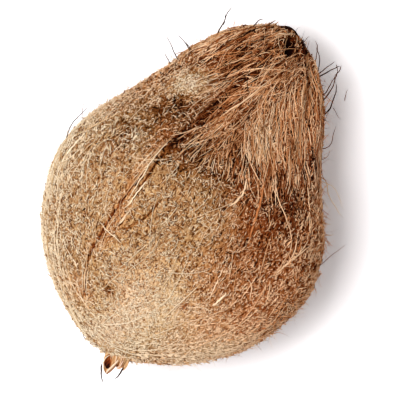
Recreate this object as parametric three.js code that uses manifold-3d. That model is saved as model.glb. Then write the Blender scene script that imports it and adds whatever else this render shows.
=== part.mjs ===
// A ripe coconut with its outer husk torn off, lying on its side. The round nut is wrapped in a thin felt of
// coir, three blunt ridges run along it, and the fibres left over its eyes are combed into a tapering tuft.
// At the other end a stump of husk still hangs on. It all grew as one piece, so it is one solid.
// Millimetres. +Z is up, +Y runs along the nut to the tuft's tip, and the origin is on the small flat spot
// that the nut rests on.
import * as THREE from "three";
import { mergeVertices } from "three/addons/utils/BufferGeometryUtils.js";
import Module from "manifold-3d";

// Driving dimensions.
const nutLength = 160; // from the blunt end to the tip of the tuft, along the spine
const nutRadius = 60; // at the belly
const restStation = 69; // how far along the spine the origin lies, under the balance point
const spineHeight = 57; // of the spine above the flat spot
const spinePitch = THREE.MathUtils.degToRad(8); // the tuft hangs lower than the blunt end
const tuftSag = 2.5; // further drop of the tuft's tip under its own weight

// The nut's half outline as fractions: distance along the spine, then radius.
const outline = [
  [0, 0],
  [0.048, 0.355],
  [0.13, 0.66],
  [0.238, 0.88],
  [0.385, 1],
  [0.51, 0.95],
  [0.617, 0.8],
  [0.715, 0.648],
  [0.83, 0.506],
  [0.905, 0.365],
  [0.962, 0.19],
  [1, 0],
];

// The three ridges, evenly spaced, measured from the top towards +X.
const ridgeCount = 3;
const firstRidge = THREE.MathUtils.degToRad(-21.5);
const trefoil = 0.03; // how far the section departs from a circle, as a share of its radius
const ridgeHeight = 1.3;
const ridgeHalfWidth = THREE.MathUtils.degToRad(6.5);

// Where the tuft begins, and the locks that its fibres gather in.
const tuftStart = 84;
const tuftFull = 118;
const lockCounts = [7, 11, 17];
const lockRelief = 0.55;

// The furrow beside the upper ridge, where the husk was split.
const furrowAngle = THREE.MathUtils.degToRad(-14);
const furrowHalfWidth = THREE.MathUtils.degToRad(7);
const furrowDepth = 1.6;

// The dark hollow in the upper side of the tuft's tip.
const hollow = { station: 151.5, side: 2.5, rise: 11.5, width: 7, length: 10, depth: 5 };

// The stump of husk at the blunt end.
const stump = { side: 4.5, lean: 0.31, length: 9.5, root: 7, waist: 4.1, mouth: 5, cup: 2.6 };

const ringsAlong = 42;
const facesAround = 72;

// 0 before the first value, 1 after the second, smooth between.
const ramp = (x, from, to) => THREE.MathUtils.smoothstep(x, from, to);

// How near an angle is to another one, from 0 to 1, as a bell of the given half width.
function bell(angle, centre, halfWidth) {
  const apart = Math.atan2(Math.sin(angle - centre), Math.cos(angle - centre));
  return Math.exp(-((apart / halfWidth) ** 2));
}

// The centre of the section at a distance along the spine.
function spineAt(station) {
  const past = Math.max(0, station - tuftStart) / (nutLength - tuftStart);
  const along = station - restStation;
  return new THREE.Vector3(
    0,
    along * Math.cos(spinePitch),
    spineHeight - along * Math.sin(spinePitch) - tuftSag * past ** 2,
  );
}

// The radius of the nut at a station, an angle from the top, and the plain outline's radius there.
function radiusAt(station, angle, plain) {
  const fullness = plain / nutRadius;
  const tuft = ramp(station, tuftStart, tuftFull) * ramp(plain, 4, 20);
  const body = 1 - 0.7 * tuft;
  let radius = plain * (1 + trefoil * body * Math.cos(ridgeCount * (angle - firstRidge)));
  for (let k = 0; k < ridgeCount; k++) {
    const ridge = firstRidge + (k * 2 * Math.PI) / ridgeCount;
    radius += ridgeHeight * fullness * body * bell(angle, ridge, ridgeHalfWidth);
  }
  lockCounts.forEach((count, k) => {
    radius += lockRelief * tuft * Math.sin(count * angle + 1.9 * k);
  });
  const split = ramp(station, 60, 92) * (1 - ramp(station, 128, 146));
  return radius - furrowDepth * split * bell(angle, furrowAngle, furrowHalfWidth);
}

// The closed mesh of a geometry as a solid that can be cut and joined.
function solidOf(wasm, geometry) {
  const bare = geometry.clone();
  bare.deleteAttribute("normal");
  bare.deleteAttribute("uv");
  const merged = mergeVertices(bare, 1e-4);
  return new wasm.Manifold(
    new wasm.Mesh({
      numProp: 3,
      vertProperties: merged.attributes.position.array,
      triVerts: new Uint32Array(merged.index.array),
    }),
  );
}

function geometryOf(solid) {
  const mesh = solid.getMesh();
  const geometry = new THREE.BufferGeometry();
  geometry.setAttribute("position", new THREE.BufferAttribute(mesh.vertProperties, 3));
  geometry.setIndex(new THREE.BufferAttribute(mesh.triVerts, 1));
  geometry.computeVertexNormals();
  return geometry;
}

// The outline turned round the spine, then each ring moved onto the spine and shaped by its angle.
function nutGeometry() {
  const points = outline.map(([along, out]) => new THREE.Vector2(out * nutRadius, along * nutLength));
  const [first, second] = points;
  const [last, beforeLast] = [...points].reverse();
  const rounded = new THREE.SplineCurve([
    new THREE.Vector2(-second.x, second.y),
    ...points,
    new THREE.Vector2(-beforeLast.x, beforeLast.y),
  ]);
  // The mirrored end points only make the poles round: the profile is what lies between the real ones.
  const spans = points.length + 1;
  const fine = 1200;
  const samples = Array.from({ length: fine + 1 }, (_, i) =>
    rounded.getPoint((1 + ((spans - 2) * i) / fine) / spans),
  );
  samples[0].copy(first);
  samples[fine].copy(last);
  const lengths = [0];
  for (let i = 1; i <= fine; i++) lengths.push(lengths[i - 1] + samples[i].distanceTo(samples[i - 1]));
  const profile = [];
  for (let ring = 0, i = 0; ring <= ringsAlong; ring++) {
    const wanted = (lengths[fine] * ring) / ringsAlong;
    while (i < fine && lengths[i] < wanted) i++;
    profile.push(samples[i].clone());
  }
  const geometry = new THREE.LatheGeometry(profile, facesAround);
  const position = geometry.attributes.position;
  for (let i = 0; i < position.count; i++) {
    const ring = i % profile.length;
    const angle = (2 * Math.PI * Math.floor(i / profile.length)) / facesAround;
    const { x: plain, y: station } = profile[ring];
    const centre = spineAt(station);
    const radius = plain > 0 ? radiusAt(station, angle, plain) : 0;
    position.setXYZ(
      i,
      centre.x + radius * Math.sin(angle),
      centre.y + radius * Math.cos(angle) * Math.sin(spinePitch),
      centre.z + radius * Math.cos(angle) * Math.cos(spinePitch),
    );
  }
  return geometry;
}

// A waisted stub with a cupped end, rooted inside the nut and leaning to one side.
function stumpGeometry() {
  const profile = new THREE.SplineCurve([
    new THREE.Vector2(0.01, -stump.root),
    new THREE.Vector2(stump.root, -stump.root * 0.6),
    new THREE.Vector2(stump.waist, stump.length * 0.35),
    new THREE.Vector2(stump.mouth, stump.length * 0.8),
    new THREE.Vector2(stump.mouth * 0.72, stump.length),
    new THREE.Vector2(0.01, stump.length - stump.cup),
  ]).getPoints(14);
  profile[0].x = 0;
  profile[profile.length - 1].x = 0;
  const geometry = new THREE.LatheGeometry(profile, 18);
  const blunt = spineAt(0);
  geometry.rotateX(Math.PI - spinePitch);
  geometry.rotateZ(stump.lean);
  geometry.translate(blunt.x + stump.side, blunt.y + 1, blunt.z);
  return geometry;
}

function hollowGeometry() {
  const at = spineAt(hollow.station);
  return new THREE.SphereGeometry(0.5, 20, 14)
    .scale(hollow.width, hollow.length, hollow.depth)
    .translate(at.x + hollow.side, at.y, at.z + hollow.rise);
}

function groundGeometry() {
  const size = 2 * nutLength;
  return new THREE.BoxGeometry(size, size, size).translate(0, 0, -size / 2);
}

const wasm = await Module();
wasm.setup();

const husk = new THREE.MeshStandardMaterial({ color: 0xab8260, roughness: 0.9, metalness: 0 });

const nut = solidOf(wasm, nutGeometry())
  .add(solidOf(wasm, stumpGeometry()))
  .subtract(solidOf(wasm, hollowGeometry()))
  .subtract(solidOf(wasm, groundGeometry()));

const coconut = new THREE.Mesh(geometryOf(nut), husk);
coconut.name = "coconut";

const part = new THREE.Group();
part.add(coconut);
export default part;
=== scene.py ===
# A ripe coconut with its outer husk torn off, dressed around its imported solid: a brown skin, a felt of short
# coir, a combed tuft, strands along the upper ridge, stray hairs, a stump of husk and the dark pit at the
# tuft's tip. Inside the functions lengths are millimetres of the nut and angles are radians from its top
# towards +X. "along" is the share of the way from the blunt end to the tip, measured on the surface.
import bpy
import math
import numpy as np
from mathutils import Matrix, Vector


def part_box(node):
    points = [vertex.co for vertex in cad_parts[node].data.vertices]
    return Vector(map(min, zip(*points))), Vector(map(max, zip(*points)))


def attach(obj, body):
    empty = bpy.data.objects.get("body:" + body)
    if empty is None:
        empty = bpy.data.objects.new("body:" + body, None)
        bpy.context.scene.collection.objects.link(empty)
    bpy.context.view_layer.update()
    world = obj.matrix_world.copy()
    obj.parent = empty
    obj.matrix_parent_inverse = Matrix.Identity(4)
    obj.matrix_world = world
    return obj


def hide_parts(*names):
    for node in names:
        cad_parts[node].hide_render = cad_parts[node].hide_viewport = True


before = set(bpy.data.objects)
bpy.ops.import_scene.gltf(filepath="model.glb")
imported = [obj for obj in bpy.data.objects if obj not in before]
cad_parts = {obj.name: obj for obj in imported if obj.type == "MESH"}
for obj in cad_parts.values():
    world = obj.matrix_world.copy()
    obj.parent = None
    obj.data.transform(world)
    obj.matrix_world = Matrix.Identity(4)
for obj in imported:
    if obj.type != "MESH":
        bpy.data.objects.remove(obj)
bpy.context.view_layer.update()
nodeLow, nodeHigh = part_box("coconut")

nut = {
    "width": 121.15,  # of the solid along X, which sets the scale of everything
    "length": 160.0,  # along the spine
    "radius": 60.0,  # at the belly
    "restStation": 69.0,  # how far along the spine the origin lies
    "spineHeight": 57.0,
    "pitch": math.radians(8),  # how much the tuft hangs lower than the blunt end
    "tuftSag": 2.5,
    "outline": [(0, 0), (0.048, 0.355), (0.13, 0.66), (0.238, 0.88), (0.385, 1), (0.51, 0.95),
                (0.617, 0.8), (0.715, 0.648), (0.83, 0.506), (0.905, 0.365), (0.962, 0.19), (1, 0)],
    "ridges": 3,
    "firstRidge": math.radians(-21.5),
    "trefoil": 0.03,
    "ridgeHeight": 1.3,
    "ridgeHalfWidth": math.radians(6.5),
    "tuftStart": 84.0,
    "tuftFull": 118.0,
    "locks": (7, 11, 17),
    "lockRelief": 0.55,
    "lockShift": 1.9,  # radians that one set of locks is turned from the next
    "tuftRoundness": 0.7,  # share of the three-sided shape that the tuft loses
    "poleFade": (4, 20),  # outline radii over which the tuft's shaping grows from nothing
    "furrowAngle": math.radians(-14),
    "furrowHalfWidth": math.radians(7),
    "furrowDepth": 1.6,
    "furrowStart": (60, 92),  # stations over which the furrow begins and ends
    "furrowEnd": (128, 146),
    "pit": {  # in the tip: its place in plan, its turn, its two half widths and its depth
        "x": 3.3, "y": 81.4, "turn": math.radians(27), "acrossHalf": 2.3, "alongHalf": 4.9, "depth": 4.2,
    },
}
fromMm = (nodeHigh.x - nodeLow.x) / nut["width"]


def ramp(value, start, end):  # 0 before start, 1 after end, smooth between
    share = np.clip((value - start) / (end - start), 0, 1)
    return share * share * (3 - 2 * share)


def wrapped(angle):  # the same angle between -pi and pi
    return np.arctan2(np.sin(angle), np.cos(angle))


def bell(angle, centre, halfWidth):  # 1 at the centre angle, falling off as a Gaussian bell
    return np.exp(-((wrapped(angle - centre) / halfWidth) ** 2))


def unit(vectors):
    return vectors / np.maximum(np.linalg.norm(vectors, axis=-1, keepdims=True), 1e-9)


def softNoise(points, size, seed):
    # Random numbers from -1 to 1 on the corners of cubes of that size, blended smoothly inside each cube.
    strides, multiplier, mask = np.array([73856093, 19349663, 83492791]), 1274126177, 0x7FFFFFFF
    grid = np.asarray(points) / size + 4096
    cell = np.floor(grid).astype(np.int64)
    inside = grid - cell
    inside = inside * inside * (3 - 2 * inside)
    total = np.zeros(grid.shape[:-1])
    for corner in range(8):
        side = np.array([corner & 1, corner >> 1 & 1, corner >> 2])
        mixed = (cell + side) @ strides + seed * 7919
        mixed = ((mixed ^ (mixed >> 13)) * multiplier) & mask
        mixed = ((mixed ^ (mixed >> 11)) * multiplier) & mask
        share = np.prod(np.where(side, inside, 1 - inside), axis=-1)
        total += share * ((mixed >> 7) % 65536 / 32767.5 - 1)
    return total


def noiseSum(points, layers):  # soft noise of several sizes, each with its seed and strength
    return sum(strength * softNoise(points, size, seed) for size, seed, strength in layers)


def spline(knots, perSpan):
    # A Catmull-Rom curve through all knots but the first and last: each span is a cubic whose slope at either
    # end is half the chord between the neighbours of that end.
    t = np.linspace(0, 1, perSpan, endpoint=False)[:, None]
    before, start, end, after = (knots[i : len(knots) - 3 + i, None] for i in range(4))
    leaving, arriving = (end - before) / 2, (after - start) / 2
    curve = (start * (2 * t**3 - 3 * t**2 + 1) + leaving * (t**3 - 2 * t**2 + t)
             + end * (3 * t**2 - 2 * t**3) + arriving * (t**3 - t**2))
    return np.vstack([curve.reshape(-1, knots.shape[1]), knots[-2]])


def walkedAlong(curve):  # the length walked at each point of a curve
    return np.concatenate([[0], np.cumsum(np.linalg.norm(np.diff(curve, axis=0), axis=1))])


def smoothLine(points, count):
    # The spline through given points, at equal steps of its length.
    points = np.asarray(points, float)
    curve = spline(np.vstack([2 * points[0] - points[1], points, 2 * points[-1] - points[-2]]), 16)
    walked = walkedAlong(curve)
    at = np.linspace(0, walked[-1], count)
    return np.stack([np.interp(at, walked, curve[:, k]) for k in range(curve.shape[1])], -1)


# --- the nut's surface

outlinePoints = np.array(nut["outline"]) * (nut["length"], nut["radius"])
outlineKnots = np.vstack([outlinePoints[1] * (1, -1), outlinePoints, outlinePoints[-2] * (1, -1)])
outlineCurve = spline(outlineKnots, 120)  # mirrored past both ends, so that the poles are round
outlineWalked = walkedAlong(outlineCurve)
arcLength = outlineWalked[-1]


def stationAt(along):  # distance along the spine
    return np.interp(along * arcLength, outlineWalked, outlineCurve[:, 0])


def plainRadius(along):
    return np.interp(along * arcLength, outlineWalked, outlineCurve[:, 1])


def alongOf(station):  # the share along the surface at a distance along the spine
    return np.interp(station, outlineCurve[:, 0], outlineWalked) / arcLength


def sectionRadius(along, angle):
    # The outline's radius, made slightly three-sided, plus three ridges and the tuft's locks, less the
    # furrow.
    station, plain = stationAt(along), plainRadius(along)
    tuftShare = ramp(station, nut["tuftStart"], nut["tuftFull"]) * ramp(plain, *nut["poleFade"])
    body = 1 - nut["tuftRoundness"] * tuftShare
    radius = plain * (1 + nut["trefoil"] * body * np.cos(nut["ridges"] * (angle - nut["firstRidge"])))
    height = nut["ridgeHeight"] * plain / nut["radius"] * body
    for k in range(nut["ridges"]):
        centre = nut["firstRidge"] + k * 2 * np.pi / nut["ridges"]
        radius = radius + height * bell(angle, centre, nut["ridgeHalfWidth"])
    for k, count in enumerate(nut["locks"]):
        radius = radius + nut["lockRelief"] * tuftShare * np.sin(count * angle + nut["lockShift"] * k)
    split = ramp(station, *nut["furrowStart"]) * (1 - ramp(station, *nut["furrowEnd"]))
    return radius - nut["furrowDepth"] * split * bell(angle, nut["furrowAngle"], nut["furrowHalfWidth"])


def surface(along, angle):
    # The section's radius round the spine, which drops towards the tuft and sags there as a parabola.
    station, radius = stationAt(along), sectionRadius(along, angle)
    ahead = station - nut["restStation"]
    past = np.maximum(0, station - nut["tuftStart"]) / (nut["length"] - nut["tuftStart"])
    sag = nut["tuftSag"] * past**2
    cos, sin = math.cos(nut["pitch"]), math.sin(nut["pitch"])
    y = ahead * cos + radius * np.cos(angle) * sin
    z = nut["spineHeight"] - ahead * sin - sag + radius * np.cos(angle) * cos
    return np.stack([radius * np.sin(angle), y, z], axis=-1)


def surfaceFrame(along, angle):
    # The point, and three unit vectors: outwards, towards the tip and towards growing angle.
    along = np.clip(along, 0.002, 0.998)
    tip = unit(surface(along + 0.0015, angle) - surface(along - 0.0015, angle))
    around = unit(surface(along, angle + 0.004) - surface(along, angle - 0.004))
    return surface(along, angle), unit(np.cross(around, tip)), tip, around


def under(x, y):
    # The place on the upper surface below a point of the plan: the angle whose sine is x over the radius
    # there, and a station that is corrected by what is missing in y, over and over.
    x, y = np.asarray(x, float), np.asarray(y, float)
    station, angle = y + nut["restStation"], np.zeros_like(x)
    for _ in range(30):
        along = alongOf(np.clip(station, 0.2, nut["length"] - 0.2))
        angle = np.arcsin(np.clip(x / sectionRadius(along, angle), -0.995, 0.995))
        station = station + 0.8 * (y - surface(along, angle)[..., 1])
    return alongOf(np.clip(station, 0.2, nut["length"] - 0.2)), angle


def isUpper(points):  # above the spine
    return points[..., 2] > nut["spineHeight"] - nut["tuftSag"] - points[..., 1] * math.tan(nut["pitch"])


def lineDistance(points, line):
    # The shortest distance in plan from each point to a given line; far off for all of the underside.
    apart = np.full(points.shape[:-1], 99.0)
    for x, y in smoothLine(line, 16 * len(line)):
        apart = np.minimum(apart, np.hypot(points[..., 0] - x, points[..., 1] - y))
    return np.where(isUpper(points), apart, 99.0)


def pitDistance(points):  # 1 on the edge of the pit, a turned ellipse, and less inside it
    pit = nut["pit"]
    x, y = points[..., 0] - pit["x"], points[..., 1] - pit["y"]
    cos, sin = math.cos(pit["turn"]), math.sin(pit["turn"])
    away = np.hypot((x * cos + y * sin) / pit["acrossHalf"], (y * cos - x * sin) / pit["alongHalf"])
    return np.where(isUpper(points), away, 9.0)


print("surface: outline", round(float(arcLength), 1), "mm from pole to pole")


# --- shader maths

class Value:
    # A shader socket on which Python's operators add Math nodes.
    def __init__(self, tree, socket):
        self.tree, self.socket = tree, socket

    def math(self, operation, *others, flip=False, **settings):
        terms = [*others, self] if flip else [self, *others]
        return self.tree.add("ShaderNodeMath", {"operation": operation, **settings}, dict(enumerate(terms)))

    def __add__(self, other):
        return self.math("ADD", other)

    def __sub__(self, other):
        return self.math("SUBTRACT", other)

    def __rsub__(self, other):
        return self.math("SUBTRACT", other, flip=True)

    def __mul__(self, other):
        return self.math("MULTIPLY", other)

    __radd__, __rmul__ = __add__, __mul__

    def size(self):
        return self.math("ABSOLUTE")

    def larger(self, other):
        return self.math("MAXIMUM", other)

    def clamped(self):
        return self.math("ADD", 0.0, use_clamp=True)

    def smooth(self, start, end):  # 0 at start, 1 at end, smooth between
        return self.tree.add("ShaderNodeMapRange", {"interpolation_type": "SMOOTHSTEP"},
                             {"Value": self, "From Min": start, "From Max": end}, "Result")


class NodeTree:
    # The nodes of a material or a world. add() makes any node: its settings first, then its sockets.
    def __init__(self, owner):
        owner.use_nodes = True
        self.owner, self.nodes, self.links = owner, owner.node_tree.nodes, owner.node_tree.links
        self.nodes.clear()

    def add(self, kind, settings=None, inputs=None, output=0):
        node = self.nodes.new(kind)
        for key, value in (settings or {}).items():
            if key == "stops":
                self.setStops(node.color_ramp, value)
            else:
                setattr(node, key, value)
        for key, value in (inputs or {}).items():
            if isinstance(value, Value):
                self.links.new(value.socket, node.inputs[key])
            else:
                node.inputs[key].default_value = value
        return Value(self, node.outputs[output])

    def setStops(self, colorRamp, stops):
        while len(colorRamp.elements) < len(stops):
            colorRamp.elements.new(0.5)
        for element, (place, colour) in zip(colorRamp.elements, stops):
            element.position = place
            element.color = (*colour, 1)

    def attribute(self, name, output="Fac"):
        return self.add("ShaderNodeAttribute", {"attribute_name": name}, output=output)

    def mix(self, share, first, second):  # two colours
        return self.add("ShaderNodeMix", {"data_type": "RGBA"}, {0: share, 6: first, 7: second}, 2)

    def noise(self, vector, scale, detail=2.0, roughness=0.5, distortion=0.0):
        return self.add("ShaderNodeTexNoise", {}, {"Vector": vector, "Scale": scale, "Detail": detail,
                                                   "Roughness": roughness, "Distortion": distortion}, "Fac")

    def stretched(self, vector, scale):
        return self.add("ShaderNodeVectorMath", {"operation": "MULTIPLY"}, {0: vector, 1: scale})

    def output(self, shader, kind="ShaderNodeOutputMaterial"):
        self.links.new(shader.socket, self.nodes.new(kind).inputs["Surface"])
        return self.owner

    def principled(self, **sockets):
        named = {key.replace("_", " "): value for key, value in sockets.items()}
        return self.output(self.add("ShaderNodeBsdfPrincipled", {}, named))


coir = {  # from almost black brown to straw: yellow, red, wine red, and plum to grey
    "yellow": [(0.0, (0.010, 0.004, 0.002)), (0.25, (0.142, 0.040, 0.007)), (0.38, (0.245, 0.100, 0.028)),
               (0.5, (0.38, 0.193, 0.075)), (0.75, (0.67, 0.44, 0.222)), (1.0, (0.93, 0.775, 0.56))],
    "red": [(0.0, (0.013, 0.003, 0.002)), (0.25, (0.167, 0.028, 0.005)), (0.38, (0.285, 0.075, 0.018)),
            (0.5, (0.43, 0.136, 0.040)), (0.75, (0.74, 0.335, 0.138)), (1.0, (0.95, 0.61, 0.36))],
    "wine": [(0.0, (0.016, 0.003, 0.003)), (0.25, (0.162, 0.022, 0.008)), (0.38, (0.280, 0.062, 0.026)),
             (0.5, (0.42, 0.115, 0.055)), (0.75, (0.72, 0.305, 0.175)), (1.0, (0.95, 0.64, 0.46))],
    "plum": [(0.0, (0.014, 0.004, 0.005)), (0.25, (0.152, 0.030, 0.015)), (0.38, (0.265, 0.085, 0.048)),
             (0.5, (0.40, 0.170, 0.108)), (0.75, (0.68, 0.41, 0.295)), (1.0, (0.94, 0.77, 0.63))],
}


def coirColour(m, tone, warm):
    # The ramps read at the tone; a warmth from 0 to 1 mixes yellow with red, what is over 1.4 mixes that with
    # wine red, and a negative warmth mixes yellow with plum.
    yellow, red, wine, plum = (m.add("ShaderNodeValToRGB", {"stops": stops}, {"Fac": tone}, "Color")
                               for stops in coir.values())
    ripe = m.mix((warm - 1.4).clamped(), m.mix(warm.clamped(), yellow, red), wine)
    return m.mix((warm * -1.0).clamped(), ripe, plum)


# --- tone of the coir over the nut

marks = {
    "base": 0.95,
    "sideSlope": 0.19,  # tone lost from the middle to the +X side
    "sideSpan": (-0.2, 1.0),  # where that happens, in belly radii across
    "tuftTone": -0.16,
    "tuftSpan": (5, 50),  # plan y over which the tuft's colour takes over
    "warmth": (0.03, 0.96, 0.62),  # on the -X side, added on the +X side, added on the tuft
    "warmSpan": (-0.1, 0.8),  # where the +X side's share grows, in belly radii across
    "toneNoise": [(14, 3, 0.035), (6, 4, 0.03)],  # size, seed and strength
    "warmNoise": [(18, 6, 0.12), (5, 7, 0.06)],
    "shade": (22, 5, 0.07),  # patches of shade on the lower side: size, seed and tone lost
    "shadeSpan": (40, 75),  # heights over which they fade
    # Each is a stain, a patch of painted shade or a patch of painted light: plan x and y, radius, tone added,
    # redness added.
    "stainsShadeAndLight": [
        (-24, 47, 9, 0.5, -1.0),  # grey wool on the shoulder
        (-24, 35, 8, -0.4, -0.1),  # plum shade beside the wool
        (-36, 17, 14, -0.2, -0.2),
        (-12, 73, 14, -0.7, 0.8),  # dark top of the tuft
        (-14, 61, 10, -0.3, 0.4),
        (8, 83, 6, -0.5, 0.6),  # shade round the pit
        (14, 76, 9, -0.3, 0.5),
        (-6, 46, 10, -0.3, 0.6),  # along the furrow
        (-9, 22, 11, -0.4, 0.3),  # shade under the tuft's fringe
        (8, 28, 12, -0.4, 0.4),
        (30, 27, 13, -0.5, 0.5),
        (34, 45, 10, -0.3, 0.1),  # painted shade in the gaps between the locks
        (14, 40, 8, 0.35, -0.7),  # pale lock
        (28, 12, 15, -0.1, 0.4),  # rusty flank
        (50, -12, 15, 0.15, 0.3),
        (40, -44, 18, 0.6, -0.5),  # paler blunt end: partly its own colour, partly painted light where the lamps leave it dim
        (12, -40, 20, 0.4, -0.3),
        (0, -60, 16, 0.3, -0.2),
        (-20, -49, 10, 0.0, 0.4),  # blush beside the stump
        (19, -34, 2.2, -0.35, 0.6),  # small scars
        (-10, -44, 2.4, -0.35, 0.7),
        (-35, -21, 2, -0.35, 0.4),
    ],
    "bands": [  # plan line, half width, tone added, redness added, how deep it is cut
        # The long crack beside the upper ridge, its thin end towards the stump, and the slit above it; their
        # dark tone is painted shade in the cuts.
        ([(-22.6, 4), (-23.6, -3), (-24.4, -12), (-25.1, -20), (-25, -34)], 0.40, -0.47, 0.9, 0.9),
        ([(-25, -34), (-23, -42), (-18.5, -51)], 0.36, -0.33, 0.4, 0.6),
        ([(-18.9, 16), (-19.8, 10), (-20, 6), (-20.1, 0), (-20.5, -6)], 0.40, -0.44, 0.5, 0.9),
        # The shade in the furrow, a short crack whose dark tone is painted shade, and a warm band along the
        # ridge.
        ([(-18, 21), (-14.4, 30), (-10.5, 42), (-8.7, 52), (-6.4, 63.5)], 2.0, -0.44, 0.4, 0.0),
        ([(-10.8, -2.5), (-12.6, -10.5), (-17.2, -18.5)], 0.38, -0.42, 0.5, 0.7),
        ([(-23, 24), (-24, 7), (-23.5, -6), (-22, -20), (-24.5, -32)], 4.0, 0.0, 0.38, 0.0),
        # The dark lip of the tip.
        ([(-3, 88.5), (1, 90), (4, 89.5)], 1.6, -0.45, 0.3, 0.0),
        ([(4, 89.5), (8.3, 86.6), (10.5, 83)], 1.6, -0.78, 0.3, 0.0),
    ],
    "lipBands": 2,  # the last bands are the lip, which is bare this far aside and above this height
    "lipHalf": 1.3,
    "lipHeight": 46,
    "contrast": 1.8,  # how much more fibres differ from each other where the coir is dark
}
stainShadeAndLightCentres = [surface(*under(x, y)) for x, y, *_ in marks["stainsShadeAndLight"]]


def toneOf(points):
    # A base tone with a slope across X, plus stains, painted shade and light, bands and two sizes of noise,
    # less some shade below.
    side = points[..., 0] / nut["radius"]
    front = ramp(points[..., 1], *marks["tuftSpan"])
    tone = marks["base"] - marks["sideSlope"] * ramp(side, *marks["sideSpan"]) + marks["tuftTone"] * front
    plain, right, combed = marks["warmth"]
    warm = plain + right * ramp(side, *marks["warmSpan"]) + combed * front
    for (_, _, radius, add, redness), centre in zip(marks["stainsShadeAndLight"], stainShadeAndLightCentres):
        near = np.exp(-(np.linalg.norm(points - centre, axis=-1) / radius) ** 2)
        tone += add * near
        warm += redness * near
    for line, half, add, redness, _ in marks["bands"]:
        near = np.exp(-(lineDistance(points, line) / half) ** 2)
        tone += add * near
        warm += redness * near
    tone += noiseSum(points, marks["toneNoise"])
    warm += noiseSum(points, marks["warmNoise"])
    size, seed, lost = marks["shade"]
    tone -= lost * (1 - ramp(points[..., 2], *marks["shadeSpan"])) * np.abs(softNoise(points, size, seed))
    return np.clip(tone, 0, 1.3), np.clip(warm, -1, 2)


# --- meshes

def writeMesh(name, points, corners, starts, values, uv):
    # Points in millimetres, the corners of all faces in a row, where each face starts, and values per vertex.
    mesh = bpy.data.meshes.new(name)
    mesh.vertices.add(len(points))
    mesh.loops.add(len(corners))
    mesh.polygons.add(len(starts))
    mesh.vertices.foreach_set("co", (points * fromMm).astype(np.float32).ravel())
    mesh.loops.foreach_set("vertex_index", corners.astype(np.int32))
    mesh.polygons.foreach_set("loop_start", starts.astype(np.int32))
    mesh.polygons.foreach_set("use_smooth", np.ones(len(starts), bool))
    mesh.update(calc_edges=True)
    mesh.validate()
    for key, value in values.items():
        layer = mesh.attributes.new(key, "FLOAT", "POINT")
        layer.data.foreach_set("value", value.astype(np.float32).ravel())
    layer = mesh.uv_layers.new(name="OFBake")
    layer.data.foreach_set("uv", uv.astype(np.float32).ravel())
    return mesh


def addPiece(name, mesh, material):
    piece = bpy.data.objects.new(name, mesh)
    bpy.context.scene.collection.objects.link(piece)
    mesh.materials.append(material)
    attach(piece, "root")
    print(name, len(mesh.polygons), "faces")
    return piece


def capped(grid):
    # A grid of rows and columns as one list: its first row drawn together, the rings between, its last row.
    return np.concatenate([grid[:1].mean(1), grid[1:-1].reshape(-1, *grid.shape[2:]), grid[-1:].mean(1)])


def ringFaces(rings, columns):
    # The faces of rings of points between two end points: their corners in a row, and how many each face has.
    column, nextColumn = np.arange(columns), (np.arange(columns) + 1) % columns
    ring = 1 + np.arange(rings - 1)[:, None] * columns
    nextRing = ring + columns
    quads = np.stack([ring + column, ring + nextColumn, nextRing + nextColumn, nextRing + column], -1)
    lastRing, lastPoint = 1 + (rings - 1) * columns, 1 + rings * columns
    opening = np.stack([np.zeros(columns, int), 1 + nextColumn, 1 + column], -1)
    closing = np.stack([lastRing + column, lastRing + nextColumn, np.full(columns, lastPoint)], -1)
    corners = np.concatenate([opening.ravel(), quads.ravel(), closing.ravel()])
    return corners, np.repeat([3, 4, 3], [columns, (rings - 1) * columns, columns])


def faceStarts(sizes):  # where each face starts in the row of corners
    return np.concatenate([[0], np.cumsum(sizes)[:-1]])


def closedSheet(name, grid, values):
    # A closed mesh from a grid whose columns go all the way round and whose end rows are poles. Columns
    # crossed with rows point outwards, and the map is the grid itself.
    rows, columns = grid.shape[:2]
    corners, sizes = ringFaces(rows - 2, columns)
    left, right = np.arange(columns) / columns, (np.arange(columns) + 1) / columns
    middle, up = (left + right) / 2, np.linspace(0, 1, rows)
    openUv = np.stack(np.broadcast_arrays(np.stack([middle, right, left], -1), up[[0, 1, 1]]), -1)
    quadAcross = np.stack([left, right, right, left], -1)
    quadUp = np.stack([up[1:-2]] * 2 + [up[2:-1]] * 2, -1)
    quadUv = np.stack(np.broadcast_arrays(quadAcross[None], quadUp[:, None]), -1)
    closeUv = np.stack(np.broadcast_arrays(np.stack([left, right, middle], -1), up[[-2, -2, -1]]), -1)
    uv = np.concatenate([openUv.reshape(-1, 2), quadUv.reshape(-1, 2), closeUv.reshape(-1, 2)])
    values = {key: capped(value) for key, value in values.items()}
    return writeMesh(name, capped(grid), corners, faceStarts(sizes), values, uv)


def aboveGround(points, least, softness=0.16):
    # What would sink into the ground is lifted softly: h above least becomes (h + sqrt(h^2 + softness)) / 2.
    height = points[..., 2:] - least
    return np.concatenate([points[..., :2], least + (height + np.sqrt(height**2 + softness)) / 2], -1)


tubes = {
    "pathAbove": 0.1,  # least heights of a tube's middle and of its corners
    "cornerAbove": 0.02,
    "margin": 0.12,  # left free round each tube's cell of the map
}


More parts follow.
